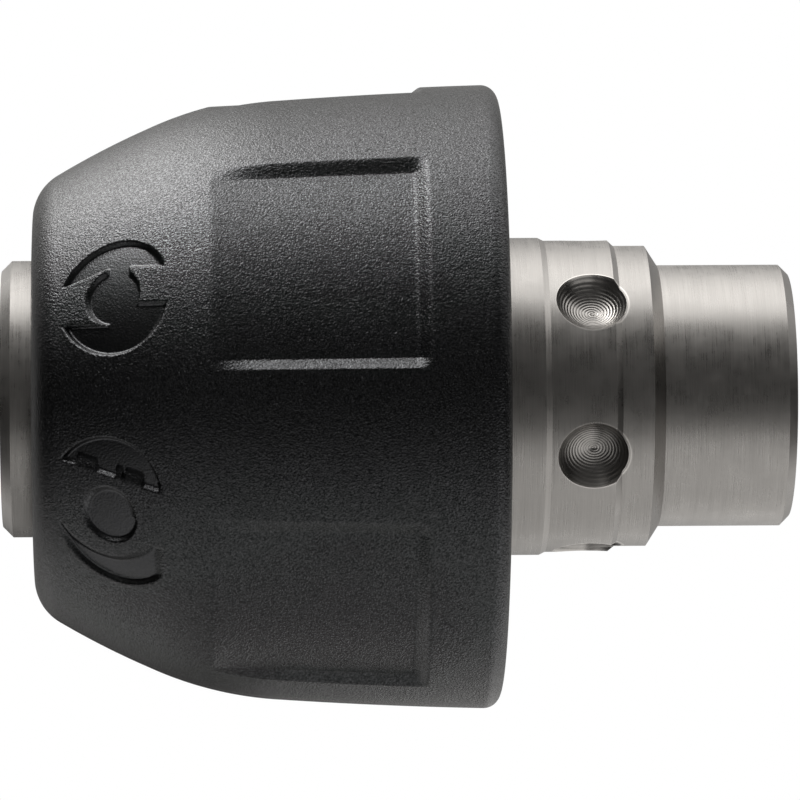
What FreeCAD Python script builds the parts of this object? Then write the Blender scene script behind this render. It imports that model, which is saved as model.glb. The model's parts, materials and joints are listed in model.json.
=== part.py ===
import FreeCAD, Part

# Keyless quick-change drill chuck, as an assembly of separate pieces.
#
# Frame: millimetres, +Z up. The chuck's axis is X, with the nose towards -X and the
# drive spigot towards +X. The origin is on the axis, in the plane of the shoulder where
# the spigot starts. Lengths in the sheet that end in Front, Rear, Start or End are
# distances from that shoulder towards the nose, so a feature at distance d has x = -d.
#
# How it works: the nut (two halves in a steel jacket) turns on a ball thrust bearing
# and drives three inclined jaws through a conical thread. The grip sleeve turns the
# jacket through three dogs. The dogs have some lost motion, and that motion tips a
# pawl into the ratchet ring on the body, which locks the nut against working loose.

import os

import Sketcher
from FreeCAD import Placement, Rotation, Vector

ALONG_AXIS = Vector(1, 0, 0)
ORIGIN = Vector(0, 0, 0)

# (alias, value in millimetres or degrees, what it is)
DIMENSIONS = (
    ("SpigotLength", 9.0, "drive spigot, shoulder to end face"),
    ("SpigotRadius", 9.0, "drive spigot"),
    ("SpigotChamfer", 0.6, "spigot end"),
    ("ShoulderCone", 0.86, "length of the cone from spigot to hub"),
    ("HubRadius", 10.35, "hub behind the dimples"),
    ("BandStart", 3.0, "step from hub to dimple band"),
    ("BandBevel", 0.4, "bevel on each side of the dimple band"),
    ("BandRadius", 10.73, "dimple band"),
    ("CollarStart", 8.2, "collar under the rear cover"),
    ("CollarRadius", 10.93, "collar"),
    ("CoverEnd", 12.3, "front face of the rear cover"),
    ("CoverShoulderRadius", 11.6, "shoulder that the rear cover rests on"),
    ("FlangeStart", 13.5, "rear face of the body flange"),
    ("FlangeRadius", 17.0, "body flange"),
    ("RatchetStart", 20.0, "seat of the ratchet ring"),
    ("RatchetBore", 15.7, "radius of the ratchet seat"),
    ("BearingStart", 22.0, "shoulder that carries the rear race"),
    ("RaceSeatRadius", 14.9, "spigot that centres the rear race"),
    ("RaceThickness", 1.0, "rear race"),
    ("BarrelRadius", 13.2, "barrel inside the bearing"),
    ("NutStart", 25.7, "rear face of the nut"),
    ("NutEnd", 32.7, "front face of the nut"),
    ("NutGap", 0.1, "axial gap between the nut and its groove"),
    ("NutFloor", 9.6, "bottom of the nut groove in the body"),
    ("NutRadius", 15.2, "outside of the nut halves"),
    ("FrontBarrelRadius", 12.2, "body in front of the nut"),
    ("FrontBarrelEnd", 38.5, "end of the front barrel"),
    ("NoseRadius", 9.5, "steel nose"),
    ("NoseLength", 45.0, "shoulder to nose face"),
    ("NoseChamfer", 0.7, "nose corner"),
    ("BoreRadius", 5.2, "central bore behind the jaws"),
    ("RearBoreRadius", 4.5, "bore between hex socket and plug"),
    ("BoreStep", 9.0, "step in the central bore"),
    ("HexAcross", 11.1, "hex socket, across flats"),
    ("HexDepth", 12.0, "hex socket"),
    ("HexChamfer", 6.9, "radius of the lead-in cone at the socket mouth"),
    ("CutRoom", 1.0, "how far a cut is drawn past the metal it removes"),
    ("DimpleCount", 6, "locking dimples"),
    ("DimplePlace", 4.88, "centre of the dimples"),
    ("DimpleMouth", 2.5, "radius of a dimple at the surface"),
    ("DimpleSphere", 2.75, "radius of the locking ball pocket"),
    ("DimpleTurn", -7.4, "turn of the first dimple from +Z"),
    ("JawAngle", 20.0, "slope of the jaws to the axis"),
    ("JawCount", 3, "jaws"),
    ("JawRadius", 3.75, "jaw rod"),
    ("JawLength", 22.9, "jaw rod, along its slope"),
    ("JawChamfer", 0.4, "back end of the jaw rod"),
    ("JawProud", 3.0, "how far the closed jaws stand out of the nose"),
    ("JawTipRadius", 1.3, "rod axis at the tip, closed"),
    ("RodOverrun", 2.0, "how far rod and bore are drawn past the tip before it is trimmed"),
    ("JawTrim", 7.0, "reach of the cuts that shape the jaw tip"),
    ("JawBore", 3.8, "guide bore in the body"),
    ("JawBoreStart", 13.9, "back end of the guide bores, on their axis"),
    ("GripRadius", 0.5, "gripping land from the axis, closed"),
    ("FlankGap", 0.06, "gap between the flanks of closed jaws"),
    ("TipBevel", 1.8, "length of the bevel outside the jaw tip"),
    ("TipBevelSlope", 1.7, "depth of that bevel over its length"),
    ("ClosingTurn", 1420, "nut turn from rest to closed, degrees"),
    ("ThreadPitch", 2.0, "conical thread, along the slope"),
    ("RidgeTip", 0.6, "crest width of the nut thread"),
    ("RidgeSlope", 0.25, "flank slope of the nut thread"),
    ("RidgeDepth", 0.85, "engagement of the nut thread in the jaws"),
    ("ThreadGap", 0.12, "clearance of the thread flanks"),
    ("RootGap", 0.15, "clearance at the thread roots"),
    ("ThreadStart", 0.4, "furthest a jaw's last groove may lie past the end of the rod"),
    ("ThreadGrooves", 11, "grooves on each jaw"),
    ("GrooveRise", 0.4, "how far a groove cut is drawn above the rod"),
    ("GrooveSweep", 90.0, "how far a groove cut turns about the chuck's axis, degrees"),
    ("ThreadCuts", 5, "turns of the nut thread"),
    ("ThreadFront", 32.6, "first groove of the nut thread, at +Z"),
    ("HelixLead", 10.0, "overrun of each thread cut, degrees"),
    ("HelixRise", 0.3, "how far a thread cut is drawn inside the crest"),
    ("RaceInner", 14.95, "bore radius of both races"),
    ("RaceOuter", 17.2, "outside of both races"),
    ("BallRadius", 0.79, "bearing ball"),
    ("BallPlace", 23.8, "plane of the ball centres"),
    ("BallCircle", 16.1, "pitch radius of the balls"),
    ("BallCount", 24, "bearing balls"),
    ("CageThickness", 1.0, "ball cage"),
    ("CageBore", 15.0, "inside radius of the cage"),
    ("PocketRadius", 0.83, "ball pocket in the cage"),
    ("FrontRaceStart", 24.6, "rear face of the front race"),
    ("JacketRadius", 16.2, "jacket over the nut"),
    ("JacketSkirtStart", 18.6, "rear end of the jacket skirt"),
    ("SkirtInner", 17.4, "inside of the jacket skirt"),
    ("SkirtOuter", 18.2, "outside of the jacket skirt"),
    ("JacketWeb", 0.8, "web between jacket and skirt"),
    ("SlotStart", 29.7, "rear end of the dog slots"),
    ("SlotWidth", 22.0, "dog slot, degrees"),
    ("DogWidth", 12.0, "dog on the drive sleeve, degrees"),
    ("DogCount", 3, "dogs and slots"),
    ("DogInner", 15.35, "inside of the dogs"),
    ("DogGap", 0.15, "gap behind and in front of the dogs"),
    ("DogRoot", 0.2, "depth of the dogs' feet in the sleeve wall"),
    ("SpringStart", 28.0, "detent spring"),
    ("SpringWidth", 0.8, "detent spring"),
    ("SpringInner", 15.7, "detent spring"),
    ("SpringOuter", 16.3, "detent spring"),
    ("SpringGap", 60.0, "opening of the detent spring, degrees"),
    ("SpringTurn", -90.0, "middle of that opening, degrees from +Z"),
    ("WindowTurn", 75.0, "place of the pawl pivot round the jacket, from +Y"),
    ("WindowBefore", 3.0, "window behind the pivot, degrees"),
    ("WindowAfter", 25.0, "window past the pivot, degrees"),
    ("ToothCount", 36, "ratchet teeth"),
    ("ToothDepth", 0.6, "ratchet teeth"),
    ("ToothLand", 2.0, "tip of a ratchet tooth, degrees"),
    ("ToothFloor", 4.0, "bottom of a ratchet gap, degrees"),
    ("ToothRunOut", 0.02, "where the sloped side of a gap ends, outside the ring"),
    ("ToothPhase", 9.2, "steep face of a ratchet gap, degrees past the pawl pivot"),
    ("PivotRadius", 17.75, "pawl pivot from the chuck axis"),
    ("PinRadius", 0.25, "pawl pin"),
    ("PinReach", 0.8, "length of the pin in the jacket, each side of the pawl"),
    ("PinGap", 0.03, "clearance of the pawl on its pin"),
    ("EyeRadius", 0.4, "eye of the pawl"),
    ("PawlOuter", 18.15, "outside of the pawl"),
    ("PawlInner", 17.6, "inside of the pawl arm"),
    ("PawlHeel", 1.2, "start of the arm's inside, degrees past the pivot"),
    ("PawlHeelDrop", 0.1, "how far the arm's inside dips there"),
    ("PawlBack", 0.2, "start of the arm's back, degrees past the pivot"),
    ("PawlBend", 7.0, "between the corners that round the arm, degrees"),
    ("PawlToothRadius", 17.08, "pawl tooth, unlocked"),
    ("PawlToothSlope", 0.6, "slope of the tooth's near face, degrees"),
    ("PawlToothStart", 19.6, "pawl tooth, degrees past the pivot"),
    ("PawlToothEnd", 22.0, "pawl tooth, degrees past the pivot"),
    ("PawlGap", 0.1, "axial gap beside the pawl"),
    ("LinerOuter", 19.0, "drive sleeve, rear part"),
    ("LinerBore", 18.35, "drive sleeve bore, rear part"),
    ("LinerStart", 12.5, "rear end of the drive sleeve"),
    ("LinerStep", 26.6, "step in the drive sleeve"),
    ("LinerStepEnd", 27.4, "front face of that step"),
    ("LinerFrontOuter", 17.3, "drive sleeve, front part"),
    ("LinerFrontBore", 16.4, "drive sleeve bore, front part"),
    ("LinerLip", 33.2, "rear face of the front lip"),
    ("LinerEnd", 34.2, "front face of the lip"),
    ("LipBore", 12.6, "bore of the front lip"),
    ("WasherRear", 32.75, "thrust washer"),
    ("WasherFront", 33.15, "thrust washer"),
    ("WasherInner", 12.5, "thrust washer"),
    ("WasherOuter", 16.0, "thrust washer"),
    ("SleeveStart", 11.0, "rear face of the grip sleeve"),
    ("SleeveEnd", 42.8, "front face of the grip sleeve"),
    ("SleeveRadius", 21.45, "grip sleeve at its widest"),
    ("SleeveWide", 12.1, "plane of the widest section"),
    ("SleeveCorner", 1.1, "rear corner of the sleeve"),
    ("WaistPlace", 25.9, "front end of the rear arc"),
    ("WaistRadius", 20.775, "sleeve there"),
    ("WaistBend", 300.0, "radius of the rear arc, from there to the widest section"),
    ("BrowPlace", 35.0, "between the front and the middle arc"),
    ("BrowRadius", 18.515, "sleeve there"),
    ("BrowBend", 25.0, "radius of the middle arc"),
    ("ConePlace", 41.1, "front end of the front arc"),
    ("ConeRadius", 15.38, "sleeve there"),
    ("ConeBend", 56.0, "radius of the front arc"),
    ("LipRadius", 13.0, "flat of the sleeve's front face"),
    ("LipBend", 3.5, "front corner of the sleeve"),
    ("SleeveHole", 9.8, "hole in the sleeve's front wall"),
    ("SleeveWall", 41.0, "inner side of the front wall"),
    ("SleeveCone", 34.3, "start of the inner cone"),
    ("SleeveConeFront", 12.6, "inner cone at the front wall"),
    ("PanelCount", 5, "grip panels"),
    ("PanelWidth", 42.2, "grip panel, degrees"),
    ("PanelTurn", -11.0, "turn of the first panel from +Z"),
    ("PanelEnd", 16.7, "rear end of the panel floor"),
    ("PanelRadius", 21.05, "panel floor there"),
    ("PanelSlope", 5.0, "slope of the panel floor, degrees"),
    ("PanelFront", 33.6, "past the front edge of the panels"),
    ("PanelWall", 0.5, "run of the rear wall of a panel"),
    ("PanelTop", 22.0, "above the panels"),
    ("CoverStart", 11.3, "rear face of the rear cover"),
    ("CoverBore", 10.98, "rear cover"),
    ("CoverRadius", 18.0, "rear cover"),
    ("CoverLip", 0.8, "lip of the rear cover"),
    ("CoverCorner", 0.3, "rear corner of the rear cover"),
    ("RearRingStart", 10.55, "rear snap ring"),
    ("RearRingWidth", 0.65, "rear snap ring"),
    ("RearRingInner", 10.42, "rear snap ring"),
    ("RearRingOuter", 11.9, "rear snap ring"),
    ("RearRingTurn", 125.0, "opening of the rear snap ring, degrees from +Z"),
    ("RingGap", 24.0, "opening of the snap rings, degrees"),
    ("GrooveGap", 0.05, "room for a snap ring in its groove"),
    ("RearSealStart", 11.4, "rear seal"),
    ("RearSealWidth", 0.8, "rear seal"),
    ("RearSealOuter", 18.9, "rear seal"),
    ("FrontRingStart", 41.3, "front snap ring"),
    ("FrontRingWidth", 0.8, "front snap ring"),
    ("FrontRingInner", 9.05, "front snap ring"),
    ("FrontRingOuter", 10.6, "front snap ring"),
    ("FrontRingTurn", 60.0, "opening of the front snap ring, degrees from +Z"),
    ("RingRoom", 0.2, "groove in the sleeve over the front snap ring"),
    ("FrontSealStart", 39.9, "front seal"),
    ("FrontSealWidth", 1.0, "front seal"),
    ("FrontSealInner", 9.6, "front seal"),
    ("FrontSealOuter", 12.2, "front seal"),
    ("PlugWidth", 1.5, "dust plug"),
    ("PlugDish", 3.2, "radius of the dish in the dust plug"),
    ("PlugDishDepth", 0.6, "dust plug"),
    ("PlugGap", 0.02, "fit of the dust plug"),
)

doc = FreeCAD.newDocument("drill_chuck")
sheet = doc.addObject("Spreadsheet::Sheet", "Dims")
for row, (alias, size, meaning) in enumerate(DIMENSIONS, start=1):
    sheet.set(f"A{row}", alias)
    sheet.set(f"B{row}", str(size))
    sheet.setAlias(f"B{row}", alias)
    sheet.set(f"C{row}", meaning)
doc.recompute()


# ---------------------------------------------------------------- helpers

def linked(expression):
    """Write an expression on the sheet's aliases as FreeCAD reads it."""
    words = []
    word = ""
    for letter in expression + " ":
        if letter.isalpha():
            word += letter
            continue
        if word:
            words.append("Dims." + word if word[0].isupper() else word)
            word = ""
        words.append(letter)
    return "".join(words).strip()


def size_of(expression):
    """The present value of an expression on the sheet's aliases."""
    return float(sheet.evalExpression(linked(expression)))


def new_body(label):
    body = doc.addObject("PartDesign::Body", label)
    body.Label = label
    return body


def origin_item(body, role):
    return next(item for item in body.Origin.OriginFeatures if item.Role == role)


def new_sketch(body, name, plane):
    sketch = body.newObject("Sketcher::SketchObject", f"{body.Label}_{name}")
    sketch.AttachmentSupport = [(origin_item(body, plane), "")]
    sketch.MapMode = "FlatFace"
    return sketch


def pin_point(sketch, geometry, end, place):
    """Tie one end of a sketch line or arc to expressions for its two coordinates."""
    for kind, expression in zip(("DistanceX", "DistanceY"), place):
        rule = Sketcher.Constraint(kind, -1, 1, geometry, end, size_of(expression))
        sketch.setExpression(f"Constraints[{sketch.addConstraint(rule)}]", linked(expression))


def arc_between(start, finish, radius):
    """A short clockwise arc from start to finish, as the Sketcher stores it."""
    middle = (start + finish) / 2
    chord = finish - start
    sagitta_side = Vector(chord.y, -chord.x, 0).normalize()
    centre = middle + sagitta_side * (radius ** 2 - (chord.Length / 2) ** 2) ** 0.5
    circle = Part.Circle(centre, Vector(0, 0, 1), radius)
    return Part.ArcOfCircle(circle, circle.parameter(finish), circle.parameter(start))


def draw_outline(sketch, points):
    """A closed outline. Each point is a pair of expressions, and a third one makes the
    side that arrives there a clockwise arc of that radius."""
    places = [Vector(size_of(point[0]), size_of(point[1]), 0) for point in points]
    starts = []
    for index, point in enumerate(points):
        before = places[index - 1]
        here = places[index]
        if len(point) == 3:
            arc = sketch.addGeometry(arc_between(before, here, size_of(point[2])))
            rule = Sketcher.Constraint("Radius", arc, size_of(point[2]))
            sketch.setExpression(f"Constraints[{sketch.addConstraint(rule)}]", linked(point[2]))
            starts.append((arc, 2, 1))
        else:
            line = sketch.addGeometry(Part.LineSegment(before, here))
            starts.append((line, 1, 2))
    for index, (geometry, start, end) in enumerate(starts):
        after, after_start, after_end = starts[(index + 1) % len(starts)]
        sketch.addConstraint(
            Sketcher.Constraint("Coincident", geometry, end, after, after_start))
        pin_point(sketch, geometry, end, points[index])


def draw_circle(sketch, radius, place=("0", "0")):
    centre = Vector(size_of(place[0]), size_of(place[1]), 0)
    circle = sketch.addGeometry(Part.Circle(centre, Vector(0, 0, 1), size_of(radius)))
    rule = Sketcher.Constraint("Radius", circle, size_of(radius))
    sketch.setExpression(f"Constraints[{sketch.addConstraint(rule)}]", linked(radius))
    pin_point(sketch, circle, 3, place)


def draw_axis(sketch, height):
    """A construction line parallel to the chuck's axis, as the sketch's first axis."""
    ends = [Vector(0, size_of(height), 0), Vector(size_of("NoseLength"), size_of(height), 0)]
    line = sketch.addGeometry(Part.LineSegment(*ends), True)
    pin_point(sketch, line, 1, ("0", height))
    pin_point(sketch, line, 2, ("NoseLength", height))


def bind(feature, **sizes):
    for name, expression in sizes.items():
        feature.setExpression(name, linked(expression))


def add_feature(body, kind, name, sketch, **settings):
    feature = body.newObject(f"PartDesign::{kind}", f"{body.Label}_{name}")
    feature.Profile = sketch
    for key, setting in settings.items():
        setattr(feature, key, setting)
    return feature


def turn_about(body, axis="X_Axis"):
    return (origin_item(body, axis), [""])


def ring(label, points):
    """A turned piece: one outline in the XZ plane, revolved about the chuck's axis."""
    body = new_body(label)
    sketch = new_sketch(body, "section", "XZ_Plane")
    draw_outline(sketch, points)
    add_feature(body, "Revolution", "turning", sketch, ReferenceAxis=turn_about(body), Angle=360)
    return body


def tilt_sketch(sketch, expression):
    """Turn a sketch in the XZ plane about the chuck's axis."""
    sketch.AttachmentOffset = Placement(ORIGIN, Rotation(ALONG_AXIS, 1))
    bind(sketch, **{"AttachmentOffset.Rotation.Angle": expression})


def sector_cut(body, name, points, width, tilt="0"):
    """Cut an outline in the XZ plane, revolved through an angle centred on +Z."""
    sketch = new_sketch(body, name, "XZ_Plane")
    tilt_sketch(sketch, tilt)
    draw_outline(sketch, points)
    cut = add_feature(body, "Groove", name + "_cut", sketch,
                      ReferenceAxis=turn_about(body), Midplane=True)
    bind(cut, Angle=width)
    return cut


def axial_cut(body, name, draw, start, finish):
    """Cut what draw puts in a YZ sketch, from start to finish along the chuck's axis."""
    sketch = new_sketch(body, name, "YZ_Plane")
    bind(sketch, **{"AttachmentOffset.Base.z": start})
    draw(sketch)
    cut = add_feature(body, "Pocket", name + "_cut", sketch)
    cut.Type = "Length"
    bind(cut, Length=f"{start} - ({finish})")
    return cut


def repeat(body, feature, count):
    """Copy a feature evenly round the chuck's axis."""
    pattern = body.newObject("PartDesign::PolarPattern", feature.Name + "_pattern")
    pattern.Originals = [feature]
    pattern.Axis = turn_about(body)
    pattern.Angle = 360
    bind(pattern, Occurrences=count)
    body.Tip = pattern
    return pattern


def turn_body(body, expression):
    """Turn a finished piece about the chuck's axis."""
    body.Placement = Placement(ORIGIN, Rotation(ALONG_AXIS, 1))
    bind(body, **{"Placement.Rotation.Angle": expression})


def band(start, finish, inner, outer):
    """Rectangular section of a ring between two planes and two radii."""
    return [(f"-({finish})", inner), (f"-({finish})", outer),
            (f"-({start})", outer), (f"-({start})", inner)]


def polar(radius, angle):
    return (f"({radius}) * cos({angle})", f"({radius}) * sin({angle})")


# ---------------------------------------------------------------- fixed pieces

def rod_frame(sketch):
    """Lay a sketch's horizontal axis along the closed jaw's rod, with 0 at its tip."""
    sketch.AttachmentOffset = Placement(ORIGIN, Rotation(Vector(0, 0, 1), 1))
    bind(sketch, **{
        "AttachmentOffset.Base.x": "-(NoseLength + JawProud)",
        "AttachmentOffset.Base.y": "JawTipRadius",
        "AttachmentOffset.Rotation.Angle": "JawAngle",
    })


def make_chuck_body():
    """Spigot, hub, flange, barrel and nose, with the bores, socket and dimples."""
    body = ring("chuck_body", [
        ("SpigotLength", "RearBoreRadius"),
        ("-BoreStep", "RearBoreRadius"),
        ("-BoreStep", "BoreRadius"),
        ("-NoseLength", "BoreRadius"),
        ("-NoseLength", "NoseRadius - NoseChamfer"),
        ("-NoseLength + NoseChamfer", "NoseRadius"),
        ("-(FrontRingStart + FrontRingWidth + GrooveGap)", "NoseRadius"),
        ("-(FrontRingStart + FrontRingWidth + GrooveGap)", "FrontRingInner - GrooveGap"),
        ("-(FrontRingStart - GrooveGap)", "FrontRingInner - GrooveGap"),
        ("-(FrontRingStart - GrooveGap)", "NoseRadius"),
        ("-FrontBarrelEnd", "NoseRadius"),
        ("-FrontBarrelEnd", "FrontBarrelRadius"),
        ("-(NutEnd + 2 * NutGap)", "FrontBarrelRadius"),
        ("-(NutEnd + 2 * NutGap)", "NutFloor"),
        ("-(NutStart - NutGap)", "NutFloor"),
        ("-(NutStart - NutGap)", "BarrelRadius"),
        ("-(BearingStart + RaceThickness - NutGap)", "BarrelRadius"),
        ("-(BearingStart + RaceThickness - NutGap)", "RaceSeatRadius"),
        ("-BearingStart", "RaceSeatRadius"),
        ("-BearingStart", "RatchetBore"),
        ("-RatchetStart", "RatchetBore"),
        ("-RatchetStart", "FlangeRadius"),
        ("-FlangeStart", "FlangeRadius"),
        ("-FlangeStart", "CoverShoulderRadius"),
        ("-CoverEnd", "CoverShoulderRadius"),
        ("-CoverEnd", "CollarRadius"),
        ("-(RearRingStart + RearRingWidth + GrooveGap)", "CollarRadius"),
        ("-(RearRingStart + RearRingWidth + GrooveGap)", "RearRingInner - GrooveGap"),
        ("-(RearRingStart - GrooveGap)", "RearRingInner - GrooveGap"),
        ("-(RearRingStart - GrooveGap)", "CollarRadius"),
        ("-CollarStart", "CollarRadius"),
        ("-(CollarStart - BandBevel)", "BandRadius"),
        ("-(BandStart + BandBevel)", "BandRadius"),
        ("-BandStart", "HubRadius"),
        ("-ShoulderCone", "HubRadius"),
        ("0", "SpigotRadius"),
        ("SpigotLength - SpigotChamfer", "SpigotRadius"),
        ("SpigotLength", "SpigotRadius - SpigotChamfer"),
    ])
    cut_jaw_bores(body)
    cut_hex_socket(body)
    cut_dimples(body)
    return body


def cut_jaw_bores(body):
    sketch = new_sketch(body, "jaw_bore", "XZ_Plane")
    rod_frame(sketch)
    back = "(NoseLength + JawProud - JawBoreStart) / cos(JawAngle)"
    draw_outline(sketch, [("-RodOverrun", "0"), ("-RodOverrun", "JawBore"), (back, "JawBore"),
                          (back, "0")])
    bore = add_feature(body, "Groove", "jaw_bore_cut", sketch,
                       ReferenceAxis=(sketch, ["H_Axis"]), Angle=360)
    repeat(body, bore, "JawCount")


def cut_hex_socket(body):
    """Hex drive socket from the end face, with a conical lead-in."""
    def hexagon(sketch):
        corner = "HexAcross / 2 / cos(30)"
        draw_outline(sketch, [polar(corner, str(60 * side)) for side in range(6)])

    axial_cut(body, "hex", hexagon, "SpigotLength", "SpigotLength - HexDepth")
    lead = "HexChamfer - HexAcross / 2"
    cone = new_sketch(body, "lead_in", "XZ_Plane")
    draw_outline(cone, [("SpigotLength", "0"), ("SpigotLength", "HexChamfer"),
                        (f"SpigotLength - ({lead}) / 2", "HexAcross / 2"),
                        (f"SpigotLength - ({lead}) / 2", "0")])
    add_feature(body, "Groove", "lead_in_cut", cone, ReferenceAxis=turn_about(body), Angle=360)


def cut_dimples(body):
    """Spherical pockets for the locking balls of the spindle."""
    sketch = new_sketch(body, "dimple", "XZ_Plane")
    tilt_sketch(sketch, "DimpleTurn")
    bind(sketch, **{"AttachmentOffset.Base.x": "-DimplePlace"})
    centre = "BandRadius + sqrt(DimpleSphere ^ 2 - DimpleMouth ^ 2)"
    draw_outline(sketch, [("0", f"{centre} - DimpleSphere"), ("0", f"{centre} + DimpleSphere"),
                          ("DimpleSphere", centre, "DimpleSphere"),
                          ("0", f"{centre} - DimpleSphere", "DimpleSphere")][1:])
    pocket = add_feature(body, "Groove", "dimple_cut", sketch,
                         ReferenceAxis=(sketch, ["V_Axis"]), Angle=360)
    repeat(body, pocket, "DimpleCount")


def make_ratchet_ring():
    """Toothed ring pressed on the body flange. The steep side of each gap stops the
    pawl when the nut tries to open."""
    body = ring("ratchet_ring", band("RatchetStart", "BearingStart", "RatchetBore", "FlangeRadius"))
    pitch = "360 / ToothCount"
    floor = "FlangeRadius - ToothDepth"

    def gap(sketch):
        draw_outline(sketch, [
            polar(floor, "ToothPhase"),
            polar(floor, "ToothPhase + ToothFloor"),
            polar("FlangeRadius + ToothRunOut", f"ToothPhase + {pitch} - ToothLand"),
            polar("FlangeRadius + CutRoom", f"ToothPhase + {pitch} - ToothLand"),
            polar("FlangeRadius + CutRoom", "ToothPhase"),
        ])

    tooth = axial_cut(body, "gap", gap, "-RatchetStart + CutRoom", "-BearingStart - CutRoom")
    repeat(body, tooth, "ToothCount")
    turn_body(body, "WindowTurn")
    return body


def open_ring(label, start, width, inner, outer, opening, turn):
    """A spring ring with a gap."""
    body = ring(label, band(start, f"{start} + {width}", inner, outer))
    sector_cut(body, "opening",
               band(f"{start} - CutRoom", f"{start} + {width} + CutRoom",
                    f"{inner} - CutRoom", f"{outer} + CutRoom"),
               opening)
    turn_body(body, turn)
    return body


def make_fixed_pieces():
    make_chuck_body()
    make_ratchet_ring()
    ring("race_rear", band("BearingStart", "BearingStart + RaceThickness", "RaceInner", "RaceOuter"))
    ring("rear_cover", [
        ("-CoverStart", "CoverBore"),
        ("-CoverEnd", "CoverBore"),
        ("-CoverEnd", "CoverRadius - CoverLip"),
        ("-(CoverEnd + CoverLip)", "CoverRadius - CoverLip"),
        ("-(CoverEnd + CoverLip)", "CoverRadius"),
        ("-(CoverStart + CoverCorner)", "CoverRadius"),
        ("-CoverStart", "CoverRadius - CoverCorner"),
    ])
    open_ring("rear_snap_ring", "RearRingStart", "RearRingWidth", "RearRingInner",
              "RearRingOuter", "RingGap", "RearRingTurn")
    ring("rear_seal", band("RearSealStart", "RearSealStart + RearSealWidth",
                           "CoverRadius + GrooveGap", "RearSealOuter"))
    open_ring("front_snap_ring", "FrontRingStart", "FrontRingWidth", "FrontRingInner",
              "FrontRingOuter", "RingGap", "FrontRingTurn")
    ring("bore_plug", [
        ("-BoreStep", "0"),
        ("-(BoreStep + PlugWidth - PlugDishDepth)", "0"),
        ("-(BoreStep + PlugWidth - PlugDishDepth)", "PlugDish"),
        ("-(BoreStep + PlugWidth)", "PlugDish + PlugDishDepth"),
        ("-(BoreStep + PlugWidth)", "BoreRadius - PlugGap"),
        ("-BoreStep", "BoreRadius - PlugGap"),
    ])


# ---------------------------------------------------------------- thrust bearing cage

def make_cage_and_balls():
    """The cage and its balls: one body of balls, each a separate solid."""
    body = ring("ball_cage", band("BallPlace - CageThickness / 2", "BallPlace + CageThickness / 2",
                                  "CageBore", "RaceOuter"))
    pocket = axial_cut(body, "pocket",
                       lambda sketch: draw_circle(sketch, "PocketRadius", ("BallCircle", "0")),
                       "-BallPlace + CageThickness", "-BallPlace - CageThickness")
    repeat(body, pocket, "BallCount")

    balls = []
    for index in range(int(size_of("BallCount"))):
        turn = Rotation(ALONG_AXIS, index * 360 / size_of("BallCount"))
        centre = turn.multVec(Vector(0, size_of("BallCircle"), 0))
        centre.x = -size_of("BallPlace")
        balls.append(Part.makeSphere(size_of("BallRadius"), centre))
    group = doc.addObject("Part::Feature", "bearing_balls")
    group.Label = "bearing_balls"
    group.Shape = Part.makeCompound(balls)
    group.Placement = Placement(ORIGIN, Rotation())


# ---------------------------------------------------------------- nut and jacket

def sloped(distance, height):
    """A point given along and across the slope of the closed jaw's rod, in x and radius."""
    return (f"-(NoseLength + JawProud) + ({distance}) * cos(JawAngle) - ({height}) * sin(JawAngle)",
            f"JawTipRadius + ({distance}) * sin(JawAngle) + ({height}) * cos(JawAngle)")


CREST = "JawRadius - RidgeDepth"
ROOT = "JawRadius + RootGap"
THREAD_START = "(NoseLength + JawProud - ThreadFront) / cos(JawAngle)"


def crest_radius(plane):
    """Radius of the nut's thread crest at a distance from the shoulder."""
    return (f"JawTipRadius + (NoseLength + JawProud - ({plane})) * tan(JawAngle)"
            f" + ({CREST}) / cos(JawAngle)")


def make_nut_half(number, start):
    """One half of the nut: half a ring with a conical thread, from start degrees past +Z."""
    body = new_body(f"nut_half_{number}")
    section = new_sketch(body, "section", "XZ_Plane")
    tilt_sketch(section, start)
    draw_outline(section, [
        ("-NutEnd", crest_radius("NutEnd")),
        ("-NutEnd", "NutRadius"),
        ("-NutStart", "NutRadius"),
        ("-NutStart", crest_radius("NutStart")),
    ])
    add_feature(body, "Revolution", "turning", section, ReferenceAxis=turn_about(body), Angle=180)
    for turn in range(int(size_of("ThreadCuts"))):
        cut_nut_thread(body, turn, start)


def cut_nut_thread(body, turn, start):
    """One pass of the conical thread through a nut half, a little longer than the half."""
    sketch = new_sketch(body, f"thread_{turn}", "XZ_Plane")
    before = f"({start} - HelixLead)"
    tilt_sketch(sketch, before)
    place = f"{THREAD_START} + ThreadPitch * ({turn} + {before} / 360)"
    half_crest = "(ThreadPitch - RidgeTip) / 2"
    deep = f"{half_crest} - RidgeSlope * ({ROOT} - ({CREST}))"
    shallow = f"{half_crest} + RidgeSlope * HelixRise"
    draw_outline(sketch, [
        sloped(f"{place} - ({shallow})", f"{CREST} - HelixRise"),
        sloped(f"{place} - ({deep})", ROOT),
        sloped(f"{place} + ({deep})", ROOT),
        sloped(f"{place} + ({shallow})", f"{CREST} - HelixRise"),
    ])
    helix = add_feature(body, "SubtractiveHelix", f"thread_{turn}_cut", sketch,
                        ReferenceAxis=turn_about(body))
    helix.Mode = "pitch-turns-angle"
    bind(helix, Pitch="ThreadPitch * cos(JawAngle)", Turns="(180 + 2 * HelixLead) / 360",
         Angle="JawAngle")


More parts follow.
